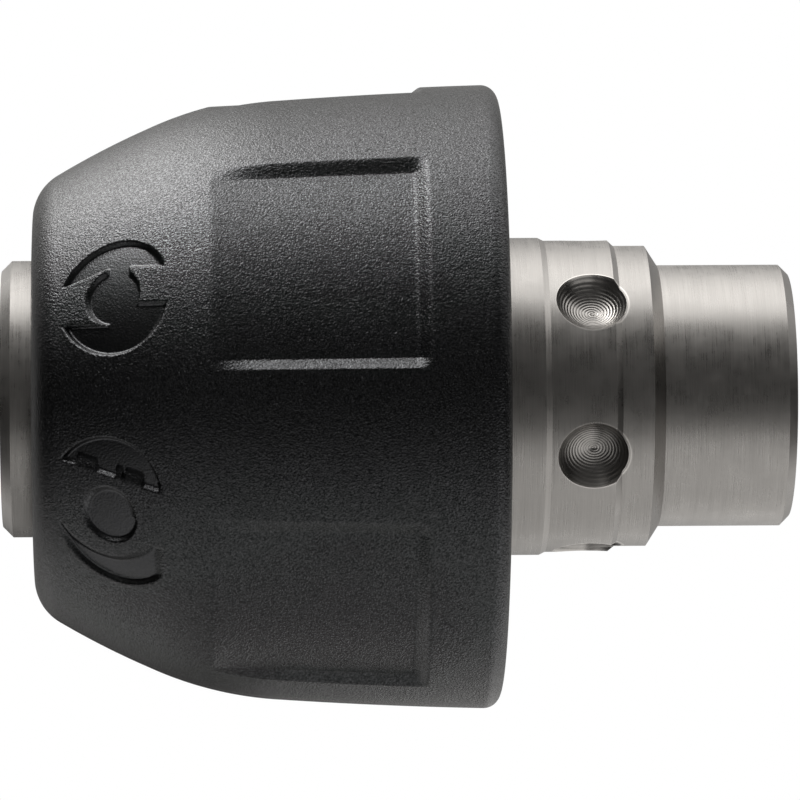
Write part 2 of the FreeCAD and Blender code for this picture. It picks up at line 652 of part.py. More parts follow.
def make_nut_jacket():
    """Ring over both nut halves, with the drive slots and the skirt that holds the pawl."""
    spring_front = "-(SpringStart + SpringWidth + GrooveGap)"
    spring_rear = "-(SpringStart - GrooveGap)"
    body = ring("nut_jacket", [
        ("-JacketSkirtStart", "SkirtInner"),
        ("-NutStart", "SkirtInner"),
        ("-NutStart", "NutRadius"),
        ("-NutEnd", "NutRadius"),
        ("-NutEnd", "JacketRadius"),
        (spring_front, "JacketRadius"),
        (spring_front, "SpringInner - GrooveGap"),
        (spring_rear, "SpringInner - GrooveGap"),
        (spring_rear, "JacketRadius"),
        ("-(NutStart + JacketWeb)", "JacketRadius"),
        ("-(NutStart + JacketWeb)", "SkirtOuter"),
        ("-JacketSkirtStart", "SkirtOuter"),
    ])
    slot = sector_cut(body, "slot",
                      band("SlotStart", "NutEnd + CutRoom", "NutRadius - CutRoom",
                           "JacketRadius + CutRoom"),
                      "SlotWidth")
    repeat(body, slot, "DogCount")
    sector_cut(body, "window",
               band("RatchetStart - PawlGap / 2", "BearingStart + PawlGap / 2",
                    "SkirtInner - CutRoom", "SkirtOuter + CutRoom"),
               "WindowBefore + WindowAfter",
               tilt="WindowTurn - 90 + (WindowAfter - WindowBefore) / 2")
    axial_cut(body, "pin_hole",
              lambda sketch: draw_circle(sketch, "PinRadius", polar("PivotRadius", "WindowTurn")),
              "-RatchetStart + PinReach", "-BearingStart - PinReach")


def make_drive_pieces():
    make_nut_half(1, "0")
    make_nut_half(2, "180")
    make_nut_jacket()
    ring("race_front", band("FrontRaceStart", "NutStart", "RaceInner", "RaceOuter"))
    ring("thrust_washer", band("WasherRear", "WasherFront", "WasherInner", "WasherOuter"))
    open_ring("detent_spring", "SpringStart", "SpringWidth", "SpringInner", "SpringOuter",
              "SpringGap", "SpringTurn")
    pin = new_body("pawl_pin")
    sketch = new_sketch(pin, "section", "YZ_Plane")
    bind(sketch, **{"AttachmentOffset.Base.z": "-BearingStart - PinReach"})
    draw_circle(sketch, "PinRadius", ("PivotRadius", "0"))
    pad = add_feature(pin, "Pad", "length", sketch)
    bind(pad, Length="BearingStart - RatchetStart + 2 * PinReach")
    turn_body(pin, "WindowTurn")


def make_lock_pawl():
    """Curved lever on the pawl pin, with one tooth that drops into the ratchet."""
    body = new_body("lock_pawl")
    sketch = new_sketch(body, "outline", "YZ_Plane")
    bind(sketch, **{"AttachmentOffset.Base.z": "-BearingStart + PawlGap"})
    draw_outline(sketch, [
        polar("PawlInner - PawlHeelDrop", "PawlHeel"),
        polar("PawlInner", "PawlToothStart - PawlToothSlope - 2 * PawlBend"),
        polar("PawlInner", "PawlToothStart - PawlToothSlope - PawlBend"),
        polar("PawlInner", "PawlToothStart - PawlToothSlope"),
        polar("PawlToothRadius", "PawlToothStart"),
        polar("PawlToothRadius", "PawlToothEnd"),
        polar("PawlOuter", "PawlToothEnd"),
        polar("PawlOuter", "PawlToothEnd - PawlBend"),
        polar("PawlOuter", "PawlToothEnd - 2 * PawlBend"),
        polar("PawlOuter", "PawlBack"),
    ])
    pad = add_feature(body, "Pad", "arm", sketch)
    bind(pad, Length="BearingStart - RatchetStart - 2 * PawlGap")
    eye = new_sketch(body, "eye", "YZ_Plane")
    bind(eye, **{"AttachmentOffset.Base.z": "-BearingStart + PawlGap"})
    draw_circle(eye, "EyeRadius", ("PivotRadius", "0"))
    boss = add_feature(body, "Pad", "boss", eye)
    bind(boss, Length="BearingStart - RatchetStart - 2 * PawlGap")
    axial_cut(body, "pivot",
              lambda hole: draw_circle(hole, "PinRadius + PinGap", ("PivotRadius", "0")),
              "-RatchetStart + CutRoom", "-BearingStart - CutRoom")
    turn_body(body, "WindowTurn")


# ---------------------------------------------------------------- jaws

def make_jaw(number):
    """Round rod on a slope, with a wedge-shaped tip and thread grooves on its back.
    It is drawn closed, at +Z, and its Placement opens it to the rest position."""
    body = new_body(f"jaw_{number}")
    rod = new_sketch(body, "rod", "XZ_Plane")
    rod_frame(rod)
    draw_outline(rod, [
        ("-RodOverrun", "0"),
        ("-RodOverrun", "JawRadius"),
        ("JawLength - JawChamfer", "JawRadius"),
        ("JawLength", "JawRadius - JawChamfer"),
        ("JawLength", "0"),
    ])
    add_feature(body, "Revolution", "rod_turning", rod, ReferenceAxis=(rod, ["H_Axis"]), Angle=360)
    cut_jaw_tip(body)
    cut_jaw_wedge(body)
    cut_jaw_thread(body, rod, number)
    place_jaw(body, number)


def cut_jaw_tip(body):
    """Flat tip square to the chuck's axis, with a bevel outside."""
    sketch = new_sketch(body, "tip", "XZ_Plane")
    tip = "-(NoseLength + JawProud)"
    top = "JawTipRadius + JawRadius + CutRoom"
    draw_outline(sketch, [
        (f"{tip} - JawTrim", "-JawTrim"),
        (f"{tip} - JawTrim", top),
        (f"{tip} + TipBevel", top),
        (tip, f"{top} - TipBevelSlope * TipBevel"),
        (tip, "-JawTrim"),
    ])
    cut = add_feature(body, "Pocket", "tip_cut", sketch, SideType="Symmetric")
    cut.Type = "Length"
    bind(cut, Length="4 * JawTrim")


def cut_jaw_wedge(body):
    """Two flanks at 120 degrees and the gripping land between them."""
    sketch = new_sketch(body, "wedge", "YZ_Plane")
    bind(sketch, **{"AttachmentOffset.Base.z": "-(NoseLength + JawProud) + JawLength + JawTrim"})
    land = "(GripRadius * tan(60) - FlankGap)"
    high = "(JawTrim + FlankGap) / tan(60)"
    draw_outline(sketch, [
        ("-JawTrim", "-JawTrim"),
        ("-JawTrim", high),
        (f"-{land}", "GripRadius"),
        (land, "GripRadius"),
        ("JawTrim", high),
        ("JawTrim", "-JawTrim"),
    ])
    cut = add_feature(body, "Pocket", "wedge_cut", sketch)
    cut.Type = "Length"
    bind(cut, Length="2 * JawLength")


def cut_jaw_thread(body, rod, number):
    """Trapezoid grooves across the jaw's back. They curve round the chuck's axis as it
    lies when the groove is inside the nut, and each jaw's are a third of a pitch on."""
    sketch = new_sketch(body, "groove", "XZ_Plane")
    place = f"(JawLength + ThreadStart - ThreadPitch + {thread_offset(number)})"
    depth = "JawRadius - RidgeDepth - RootGap"
    top = "JawRadius + GrooveRise"
    base = "RidgeTip / 2 + ThreadGap"
    narrow = f"{base} - RidgeSlope * RootGap"
    wide = f"{base} + RidgeSlope * ({top} - ({CREST}))"
    draw_outline(sketch, [
        sloped(f"{place} - ({narrow})", depth),
        sloped(f"{place} - ({wide})", top),
        sloped(f"{place} + ({wide})", top),
        sloped(f"{place} + ({narrow})", depth),
    ])
    in_nut = "(NoseLength + JawProud - (NutStart + NutEnd) / 2) * tan(JawAngle)"
    draw_axis(sketch, f"{place} * sin(JawAngle) - {in_nut}")
    cut = add_feature(body, "Groove", "groove_cut", sketch,
                      ReferenceAxis=(sketch, ["Axis0"]), Midplane=True)
    bind(cut, Angle="GrooveSweep")
    pattern = body.newObject("PartDesign::LinearPattern", f"{body.Label}_groove_pattern")
    pattern.Originals = [cut]
    pattern.Direction = (rod, ["H_Axis"])
    pattern.Reversed = True
    bind(pattern, Length="ThreadPitch * (ThreadGrooves - 1)", Occurrences="ThreadGrooves")
    body.Tip = pattern


def thread_offset(number):
    """Shift of a jaw's grooves that puts them on the nut's ridges, within one pitch."""
    ridge = f"{THREAD_START} + ThreadPitch / 2"
    first = "JawLength + ThreadStart"
    shift = (f"{ridge} + ({number} - 1) * ThreadPitch / JawCount"
             f" - ClosingTurn / 360 * ThreadPitch - ({first})")
    return f"mod(mod({shift}; ThreadPitch) + ThreadPitch; ThreadPitch)"


def place_jaw(body, number):
    opened = size_of("ClosingTurn / 360 * ThreadPitch")
    slope = size_of("JawAngle")
    turn = Rotation(ALONG_AXIS, 360 * (number - 1) / size_of("JawCount"))
    back = Rotation(Vector(0, -1, 0), slope).multVec(Vector(opened, 0, 0))
    body.Placement = Placement(turn.multVec(back), turn)


# ---------------------------------------------------------------- sleeve

def make_drive_sleeve():
    """Steel liner of the grip sleeve, with three dogs that turn the nut jacket."""
    body = ring("drive_sleeve", [
        ("-LinerStart", "LinerBore"),
        ("-LinerStep", "LinerBore"),
        ("-LinerStep", "LinerFrontBore"),
        ("-LinerLip", "LinerFrontBore"),
        ("-LinerLip", "LipBore"),
        ("-LinerEnd", "LipBore"),
        ("-LinerEnd", "LinerFrontOuter"),
        ("-LinerStepEnd", "LinerFrontOuter"),
        ("-LinerStepEnd", "LinerOuter"),
        ("-LinerStart", "LinerOuter"),
    ])
    sketch = new_sketch(body, "dog", "XZ_Plane")
    draw_outline(sketch, band("SlotStart + DogGap", "NutEnd - DogGap", "DogInner",
                              "LinerFrontBore + DogRoot"))
    dog = add_feature(body, "Revolution", "dog_block", sketch,
                      ReferenceAxis=turn_about(body), Midplane=True)
    bind(dog, Angle="DogWidth")
    repeat(body, dog, "DogCount")
    turn_body(body, "-(SlotWidth - DogWidth) / 2")


def make_grip_sleeve():
    """Moulded outer sleeve: a long front cone, a waist and five sunk grip panels."""
    body = ring("grip_sleeve", [
        ("-SleeveEnd", "SleeveHole"),
        ("-SleeveEnd", "LipRadius"),
        ("-ConePlace", "ConeRadius", "LipBend"),
        ("-BrowPlace", "BrowRadius", "ConeBend"),
        ("-WaistPlace", "WaistRadius", "BrowBend"),
        ("-SleeveWide", "SleeveRadius", "WaistBend"),
        ("-SleeveStart", "SleeveRadius - SleeveCorner", "SleeveCorner"),
        ("-SleeveStart", "LinerOuter"),
        ("-LinerStepEnd", "LinerOuter"),
        ("-LinerStepEnd", "LinerFrontOuter"),
        ("-SleeveCone", "LinerFrontOuter"),
        ("-SleeveWall", "SleeveConeFront"),
        ("-SleeveWall", "SleeveHole"),
        ("-(FrontRingStart - RingRoom / 2)", "SleeveHole"),
        ("-(FrontRingStart - RingRoom / 2)", "FrontRingOuter + RingRoom"),
        ("-(FrontRingStart + FrontRingWidth + RingRoom / 2)", "FrontRingOuter + RingRoom"),
        ("-(FrontRingStart + FrontRingWidth + RingRoom / 2)", "SleeveHole"),
    ])
    panel = sector_cut(body, "panel", [
        ("-PanelFront", "PanelRadius - (PanelFront - PanelEnd) * tan(PanelSlope)"),
        ("-PanelFront", "PanelTop"),
        ("-PanelEnd + PanelWall", "PanelTop"),
        ("-PanelEnd", "PanelRadius"),
    ], "PanelWidth")
    repeat(body, panel, "PanelCount")
    turn_body(body, "PanelTurn")


def make_sleeve_pieces():
    make_drive_sleeve()
    make_grip_sleeve()
    ring("front_seal", band("FrontSealStart", "FrontSealStart + FrontSealWidth",
                            "FrontSealInner", "FrontSealOuter"))


# ---------------------------------------------------------------- build and write

def check_model(pieces):
    """Stop if a feature failed, cut nothing, or left a piece broken."""
    for item in doc.Objects:
        if "Invalid" in item.State or "Error" in item.State:
            raise RuntimeError(f"{item.Label} failed: {item.State}")
        cuts = item.TypeId in ("PartDesign::Pocket", "PartDesign::Groove",
                               "PartDesign::SubtractiveHelix")
        if cuts and item.Shape.Volume > item.BaseFeature.Shape.Volume - 0.001:
            raise RuntimeError(f"{item.Label} cuts nothing")
    for piece in pieces:
        if piece.Shape.isNull() or not piece.Shape.isValid():
            raise RuntimeError(f"{piece.Label} has no valid shape")


def main():
    make_fixed_pieces()
    make_cage_and_balls()
    make_drive_pieces()
    make_lock_pawl()
    for number in range(1, int(size_of("JawCount")) + 1):
        make_jaw(number)
    make_sleeve_pieces()
    doc.recompute()
    pieces = [item for item in doc.Objects
              if item.TypeId in ("PartDesign::Body", "Part::Feature")]
    check_model(pieces)
    os.makedirs("parts", exist_ok=True)
    for piece in pieces:
        piece.Shape.exportStep(f"parts/{piece.Label}.step")
        print(f"{piece.Label:18s} {len(piece.Shape.Solids):3d} solids"
              f" {piece.Shape.Volume:10.2f} mm3")


main()
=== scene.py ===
# Looks of a keyless drill chuck: the grip sleeve is rebuilt as a fine mesh with sunk
# panels and engraved symbols, and every other CAD node gets a procedural material.
# Lengths are millimetres for the outline, the panels, the symbols, the dimples and whatever
# is multiplied by MM. The others are metres, as in Blender.

import json
import math

import bpy
import numpy as np
from mathutils import Matrix, Vector


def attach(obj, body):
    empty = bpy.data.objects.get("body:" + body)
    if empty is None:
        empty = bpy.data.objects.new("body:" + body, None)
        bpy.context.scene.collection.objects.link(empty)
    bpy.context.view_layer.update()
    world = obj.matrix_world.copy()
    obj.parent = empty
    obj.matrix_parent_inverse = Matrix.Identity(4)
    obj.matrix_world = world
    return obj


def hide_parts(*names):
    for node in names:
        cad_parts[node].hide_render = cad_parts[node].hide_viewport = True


MM = 0.001
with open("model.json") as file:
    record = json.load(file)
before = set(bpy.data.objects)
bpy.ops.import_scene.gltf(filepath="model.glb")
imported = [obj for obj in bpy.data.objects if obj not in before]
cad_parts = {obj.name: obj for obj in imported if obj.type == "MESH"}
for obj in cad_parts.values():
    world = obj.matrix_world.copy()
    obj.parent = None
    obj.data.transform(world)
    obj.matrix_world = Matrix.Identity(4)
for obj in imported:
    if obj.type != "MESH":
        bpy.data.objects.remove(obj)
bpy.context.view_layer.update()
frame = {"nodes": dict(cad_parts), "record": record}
nodes = frame["nodes"]


# ---------------------------------------------------------------- node graphs

class Graph:
    """The node tree of a material or a world, written as nested calls."""

    def __init__(self, owner):
        owner.use_nodes = True
        self.owner = owner
        self.tree = owner.node_tree
        self.tree.nodes.clear()

    def put(self, kind, inputs=None, **settings):
        node = self.tree.nodes.new(kind)
        for key, value in settings.items():
            setattr(node, key, value)
        for key, value in (inputs or {}).items():
            socket = node.inputs[key]
            if isinstance(value, bpy.types.NodeSocket):
                self.tree.links.new(value, socket)
            else:
                socket.default_value = value
        return node

    def math(self, operation, *values):
        node = self.put("ShaderNodeMath", dict(enumerate(values)), operation=operation)
        return node.outputs[0]

    def vector(self, x, y, z):
        return self.put("ShaderNodeCombineXYZ", {"X": x, "Y": y, "Z": z}).outputs[0]

    def noise(self, vector, scale, detail=2.0, roughness=0.5):
        node = self.put("ShaderNodeTexNoise", {"Vector": vector, "Scale": scale,
                                               "Detail": detail, "Roughness": roughness})
        return node.outputs[0]

    def span(self, value, low, high, to_low=0.0, to_high=1.0):
        """The value carried from one range to another, and held at its ends."""
        node = self.put("ShaderNodeMapRange", {"Value": value, "From Min": low, "From Max": high,
                                               "To Min": to_low, "To Max": to_high})
        return node.outputs[0]

    def mix(self, share, first, second):
        """A mix of two colours; a Mix node's colour sockets are its inputs 6 and 7."""
        node = self.tree.nodes.new("ShaderNodeMix")
        node.data_type = "RGBA"
        for socket, value in ((0, share), (6, first), (7, second)):
            if isinstance(value, bpy.types.NodeSocket):
                self.tree.links.new(value, node.inputs[socket])
            else:
                node.inputs[socket].default_value = value
        return node.outputs[2]

    def bump(self, height, distance, strength=1.0, normal=None):
        inputs = {"Height": height, "Distance": distance, "Strength": strength}
        if normal is not None:
            inputs["Normal"] = normal
        return self.put("ShaderNodeBump", inputs).outputs[0]

    def finish(self, **inputs):
        """End a material with a Principled shader."""
        shader = self.put("ShaderNodeBsdfPrincipled", inputs)
        output = self.put("ShaderNodeOutputMaterial")
        self.tree.links.new(shader.outputs[0], output.inputs[0])
        return self.owner

    def place(self):
        """Object coordinates in millimetres."""
        coordinates = self.put("ShaderNodeTexCoord").outputs["Object"]
        to_mm = (1 / MM, 1 / MM, 1 / MM)
        scaled = self.put("ShaderNodeVectorMath", {0: coordinates, 1: to_mm},
                          operation="MULTIPLY")
        return scaled.outputs[0]

    def parts(self, vector):
        """The X, Y and Z of a vector."""
        return self.put("ShaderNodeSeparateXYZ", {0: vector}).outputs


def material_graph(name):
    return Graph(bpy.data.materials.new(name))


def grey(level, warmth=0.0):
    """A grey that leans to red by its warmth."""
    return (level * (1 + warmth), level, level * (1 - warmth), 1.0)


# ---------------------------------------------------------------- materials

# The grip's grain: how many cells, waves and specks there are per millimetre, how high the
# cells stand against the waves, the height of it all in metres, and the share of that which
# is left in the engravings.
GRAIN_CELLS = 7.5
GRAIN_WAVES = 10.0
GRAIN_SPECKS = 8.0
CELLS_TO_WAVES = 0.7
GRAIN_HEIGHT = 0.000045
ENGRAVED_GRAIN = 0.25

# Its plastic: the darkest and the lightest colour, how many of their patches there are per
# millimetre, the tint and strength of the gloss, and the gloss in the engravings.
GRIP_DARK = 0.0010
GRIP_LIGHT = 0.0014
GRIP_PATCHES = 0.12
GRIP_ROUGHNESS = (0.20, 0.27)
GRIP_IOR = 1.66
GRIP_TINT = (0.93, 0.95, 1.0, 1.0)
GRIP_GLOSS = (0.18, 0.82)
ENGRAVED_GLOSS = 0.5


def grip_plastic():
    """Black moulded plastic with a fine spark-eroded grain, smoother in the engravings."""
    g = material_graph("grip_plastic")
    place = g.place()
    grain_share = g.put("ShaderNodeAttribute", attribute_name="grain").outputs["Fac"]
    cells = g.put("ShaderNodeTexVoronoi", {"Vector": place, "Scale": GRAIN_CELLS},
                  feature="SMOOTH_F1").outputs["Distance"]
    waves = g.noise(place, GRAIN_WAVES, 2.0, 0.6)
    height = g.math("ADD", g.math("MULTIPLY", cells, CELLS_TO_WAVES), waves)
    height = g.math("MULTIPLY", height, g.span(grain_share, 0, 1, ENGRAVED_GRAIN, 1.0))
    normal = g.bump(height, GRAIN_HEIGHT, 0.9)
    patches = g.noise(place, GRIP_PATCHES, 3.0)
    base = g.mix(g.span(patches, 0.35, 0.65), grey(GRIP_DARK), grey(GRIP_LIGHT))
    roughness = g.span(waves, 0.3, 0.7, *GRIP_ROUGHNESS)
    specks = g.span(g.noise(place, GRAIN_SPECKS, 2.0, 0.7), 0.36, 0.64, *GRIP_GLOSS)
    gloss = g.mix(grain_share, grey(ENGRAVED_GLOSS), specks)
    return g.finish(**{"Base Color": base, "Roughness": roughness, "Normal": normal,
                       "IOR": GRIP_IOR, "Specular IOR Level": gloss,
                       "Specular Tint": GRIP_TINT})


# The ring of dimples in the body: their place along the axis, the turn of one of them and
# their spacing about it in degrees, the radius of the wall they are cut in, the radius and
# width of their rims, and how far the cutter's spiral moves out in a turn.
DIMPLE_PLACE = -4.88
DIMPLE_TURN = 22.6
DIMPLE_SPACING = 60.0
DIMPLE_SEAT = 10.9
DIMPLE_RIM = 2.45
RIM_WIDTH = 0.1
CUTTER_PITCH = 0.20


def hypotenuse(g, first, second):
    """The length of the longest side over two sides at right angles."""
    squares = g.math("ADD", g.math("MULTIPLY", first, first), g.math("MULTIPLY", second, second))
    return g.math("SQRT", squares)


def dimple_marks(g, x, angle):
    """The cutter's spiral in each dimple, the share inside one, and a painted highlight on its
    rim.

    The angle is in radians. Adding 12.5 spacings keeps it above zero, so that the
    remainder less half a spacing is the turn from the nearest dimple.
    """
    turn = g.math("MULTIPLY", angle, 180 / math.pi)
    turn = g.math("ADD", turn, 12.5 * DIMPLE_SPACING - DIMPLE_TURN)
    turn = g.math("SUBTRACT", g.math("MODULO", turn, DIMPLE_SPACING), DIMPLE_SPACING / 2)
    across = g.math("MULTIPLY", turn, DIMPLE_SEAT * math.pi / 180)
    along = g.math("SUBTRACT", x, DIMPLE_PLACE)
    away = hypotenuse(g, across, along)
    swirl = g.math("ADD", g.math("MULTIPLY", away, 2 * math.pi / CUTTER_PITCH),
                   g.math("ARCTAN2", across, along))
    inside = g.math("LESS_THAN", away, DIMPLE_RIM - RIM_WIDTH)
    rings = g.math("MULTIPLY", g.math("SINE", swirl), inside)
    off_rim = g.math("ABSOLUTE", g.math("SUBTRACT", away, DIMPLE_RIM))
    return rings, inside, g.span(off_rim, 0.0, 0.9 * RIM_WIDTH, 1.0, 0.0)


# Marks of the lathe: how many cross a millimetre and change in a radian, for the fine and
# the wide ones; blotches per millimetre; the share of each in the tone of the steel; heights
# in metres; how far the gloss is drawn out across the marks; how much of the dark of a
# cutter's spiral shows and how dark it is against the steel; and the grey of the painted
# highlight on a dimple's rim.
FINE_MARKS = (18, 2.0)
WIDE_MARKS = (2.5, 1.2)
BLOTCHES = 0.55
TONE_SHARES = (0.6, 0.2, 0.2)
MARK_HEIGHT = 0.000012
CUTTER_HEIGHT = 0.000008
STEEL_FLOW = 0.55
SPIRAL_SHARE = 0.35
SPIRAL_DARK = 0.45
RIM_HIGHLIGHT_GREY = 0.85


def turned_steel(name, level=0.46, warmth=0.035, roughness=0.28, streak=1.0, dimples=False):
    """Steel turned on a lathe: fine marks that run round the chuck's axis."""
    g = material_graph(name)
    place = g.place()
    x, y, z = g.parts(place)
    angle = g.math("ARCTAN2", z, y)
    across = g.math("ADD", x, hypotenuse(g, y, z))

    def lathe_marks(crossing, turning, seed, *detail):
        where = g.vector(g.math("MULTIPLY", across, crossing),
                         g.math("MULTIPLY", angle, turning), seed)
        return g.noise(where, 1.0, *detail)

    marks = lathe_marks(*FINE_MARKS, 0, 4.0, 0.65)
    wide = lathe_marks(*WIDE_MARKS, 4, 2.0)
    blotch = g.noise(place, BLOTCHES, 4.0, 0.6)
    normal = g.bump(marks, MARK_HEIGHT, 0.45 * streak)
    tones = [g.math("MULTIPLY", *pair) for pair in zip((marks, wide, blotch), TONE_SHARES)]
    tone = g.math("ADD", tones[0], g.math("ADD", tones[1], tones[2]))
    base = g.mix(g.span(tone, 0.35, 0.65), grey(level * 0.80, warmth), grey(level * 1.12, warmth))
    rough = g.span(g.math("ADD", marks, blotch), 0.7, 1.3, roughness - 0.05, roughness + 0.10)
    flow = STEEL_FLOW
    if dimples:
        rings, inside, rim_highlight = dimple_marks(g, x, angle)
        normal = g.bump(rings, CUTTER_HEIGHT, 1.0, normal)
        # Painted highlight: the rim of each dimple is coloured a light grey, standing in for the
        # light a chamfer there would catch.
        base = g.mix(rim_highlight, base, grey(RIM_HIGHLIGHT_GREY, warmth))
        base = g.mix(g.span(rings, -1, 1, 0.0, SPIRAL_SHARE), base,
                     grey(level * SPIRAL_DARK, warmth))
        flow = g.math("MULTIPLY", g.math("SUBTRACT", 1.0, inside), flow)
    tangent = g.put("ShaderNodeTangent", direction_type="RADIAL", axis="X").outputs[0]
    return g.finish(**{"Base Color": base, "Metallic": 1.0, "Roughness": rough,
                       "Normal": normal, "Anisotropic": flow, "Tangent": tangent})


# The faint grain of the other plastics, in metres.
PLAIN_GRAIN_HEIGHT = 0.00003


def plain_plastic(name, level, roughness=0.5):
    """An even moulded plastic or rubber with a faint grain."""
    g = material_graph(name)
    place = g.place()
    fine = g.noise(place, 5.0, 3.0, 0.6)
    normal = g.bump(fine, PLAIN_GRAIN_HEIGHT, 0.6)
    base = g.mix(g.span(g.noise(place, 0.4), 0.3, 0.7), grey(level * 0.85), grey(level * 1.15))
    return g.finish(**{"Base Color": base, "Roughness": roughness, "Normal": normal})


# Edges sharper than these stay sharp, in degrees.
CAD_SHARP = 30
SLEEVE_SHARP = 50

MATERIALS = {
    "grip_plastic": grip_plastic(),
    "body_steel": turned_steel("body_steel", dimples=True),
    "jaw_steel": turned_steel("jaw_steel", 0.42, 0.0, 0.30),
    "nut_steel": turned_steel("nut_steel", 0.48, 0.01, 0.33),
    "bearing_steel": turned_steel("bearing_steel", 0.65, 0.0, 0.15, 0.3),
    "spring_steel": turned_steel("spring_steel", 0.22, -0.02, 0.35),
    "cage_brass": turned_steel("cage_brass", 0.5, 0.35, 0.3),
    "cover_plastic": plain_plastic("cover_plastic", 0.03),
    "plug_plastic": plain_plastic("plug_plastic", 0.06),
    "washer_plastic": plain_plastic("washer_plastic", 0.7),
    "seal_rubber": plain_plastic("seal_rubber", 0.022, 0.7),
}


def shade_by_angle(piece, degrees):
    """Smooth shading except across edges sharper than an angle."""
    mesh = piece.data
    mesh.polygons.foreach_set("use_smooth", np.ones(len(mesh.polygons), bool))
    mesh.set_sharp_from_angle(angle=math.radians(degrees))


def paint_cad_nodes():
    """Shade each CAD node and give it the material of its slot in the record."""
    slots = {part["node"]: part["material_slot"] for part in frame["record"]["subparts"]}
    for name, piece in nodes.items():
        shade_by_angle(piece, CAD_SHARP)
        piece.data.materials.clear()
        piece.data.materials.append(MATERIALS[slots[name]])


# ---------------------------------------------------------------- grip sleeve

# The outline repeats the CAD sleeve: (x, radius) with the radius of the arc that
# arrives there, or 0 for a straight side.
OUTSIDE = (
    ((-42.8, 9.8), 0), ((-42.8, 13.0), 0), ((-41.1, 15.38), 3.5), ((-35.0, 18.515), 56),
    ((-25.9, 20.775), 25), ((-12.1, 21.45), 300), ((-11.0, 20.35), 1.1),
)
INSIDE = (
    (-11.0, 19.0), (-27.4, 19.0), (-27.4, 17.3), (-34.3, 17.3), (-41.0, 12.6), (-41.0, 9.8),
    (-41.2, 9.8), (-41.2, 10.8), (-42.2, 10.8), (-42.2, 9.8),
)
# The part of the outside that carries relief.
RELIEF_SPAN = (-42.7, -11.3)

# The mesh: how far apart its rows are, in millimetres, the span along the axis where they
# are closer, and how far apart its columns are, in degrees, away from the walls and the
# symbols, at the walls, and within SYMBOL_COLUMNS of a symbol. Their density is summed on
# the angle grid.
OUTER_STEP = 0.16
FINE_STEP = 0.08
SYMBOL_ZONE = (-42.2, -34.0)
ANGLE_GRID = 0.02
COLUMN_STEP = 0.55
WALL_COLUMN_STEP = 0.18
SYMBOL_COLUMN_STEP = 0.25
SYMBOL_COLUMNS = 19

# The sunk panels: how many, the turn of one of them, half its width and the widths of its
# lower and upper walls in degrees, where the rear wall lies along the axis, a point
# (x, radius) of the floor under it, and the slope the floor falls with towards the nose.
PANELS = 5
PANEL_CENTRE = 27.0
PANEL_HALF = 22.1
PANEL_WALLS = (2.4, 3.2)
PANEL_END = (-17.3, -16.2)
FLOOR_AT_END = (-17.2, 20.68)
FLOOR_SLOPE = math.tan(math.radians(2.75))

# The engraved symbols: their depth, the width of their walls, how far they reach from
# their centres, how much less grain they have, and each one's place along the axis and
# turn about it.
SYMBOL_DEPTH = 0.36
SYMBOL_WALL = 0.25
SYMBOL_REACH = 7
SMOOTHER_IN_SYMBOLS = 0.8
OPEN_SYMBOL = (-37.3, 22.7)
LOCK_SYMBOL = (-37.6, -26.4)

# Their shapes, in millimetres from the centre: u along the axis towards the spigot, v up
# the turn. A disc is its centre and radius, a line its v at u = 0 and its slope, and a
# bar the lines of its top and its foot. FAINT and the button's slopes, above and below its
# middle, spread an edge over more than a wall's width.
OPEN_DISC = (0, 0.05, 4.12)
OPEN_HUB = (0, 0, 2.05)
RIGHT_BAR = ((2.2, -0.22), (-0.4, -0.12))
RIGHT_BAR_FROM = 1.35
LEFT_BAR = ((2.2, 0.16), (-1.83, -0.12))
LEFT_BAR_TO = -0.6
LOCK_UPPER = (-0.15, 1.26, 4.2)
LOCK_FOOT = (2.72, -0.18)
LOCK_TEETH = ((-3.7, -2.45), (-1.0, 0.5), (0.9, 1.15), (2.4, 3.65))
TOOTH_EDGE = 0.1
LOCK_LOWER = (0.4, -1.0, 4.4)
LOCK_HOLLOW = (-0.5, 0.6, 3.7)
LOCK_LOWER_END = 4.1
LOCK_LOWER_TOP = -1.6
LOCK_BUTTON = (0, 0, 2.1)
BUTTON_SLOPES = (0.45, 0.9)
FAINT = 0.25


def smooth(value, start, end):
    """A rise from 0 to 1 that starts and ends level."""
    share = np.clip((value - start) / (end - start), 0, 1)
    return share * share * (3 - 2 * share)


def ramp(value, start, end):
    """A straight rise from 0 to 1 with rounded ends."""
    share = np.clip((value - start) / (end - start), 0, 1)
    return 0.3 * share * share * (3 - 2 * share) + 0.7 * np.clip(1.2 * share - 0.1, 0, 1)


def arc_points(start, end, radius, step):
    """Points after start up to end along a clockwise arc, about step apart."""
    a = np.array(start)
    b = np.array(end)
    chord = b - a
    length = np.hypot(*chord)
    if radius == 0:
        count = max(1, math.ceil(length / step))
        return [a + chord * i / count for i in range(1, count + 1)]
    side = np.array([chord[1], -chord[0]]) / length
    centre = (a + b) / 2 + side * math.sqrt(radius ** 2 - (length / 2) ** 2)
    first = math.atan2(*(a - centre)[::-1])
    sweep = -2 * math.asin(length / 2 / radius)
    count = max(2, math.ceil(abs(sweep) * radius / step))
    turns = [first + sweep * i / count for i in range(1, count + 1)]
    return [centre + radius * np.array([math.cos(t), math.sin(t)]) for t in turns]


def outer_profile():
    """The plain outline as points (x, radius), closest together at the symbols."""
    points = [np.array(OUTSIDE[0][0])]
    for (start, _), (end, radius) in zip(OUTSIDE, OUTSIDE[1:]):
        in_zone = SYMBOL_ZONE[0] < end[0] <= SYMBOL_ZONE[1]
        points += arc_points(start, end, radius, FINE_STEP if in_zone else OUTER_STEP)
    return np.array(points)


def degrees_between(angle, centre):
    """The turn from a centre to an angle, between -180 and 180 degrees."""
    return (angle - centre + 180) % 360 - 180


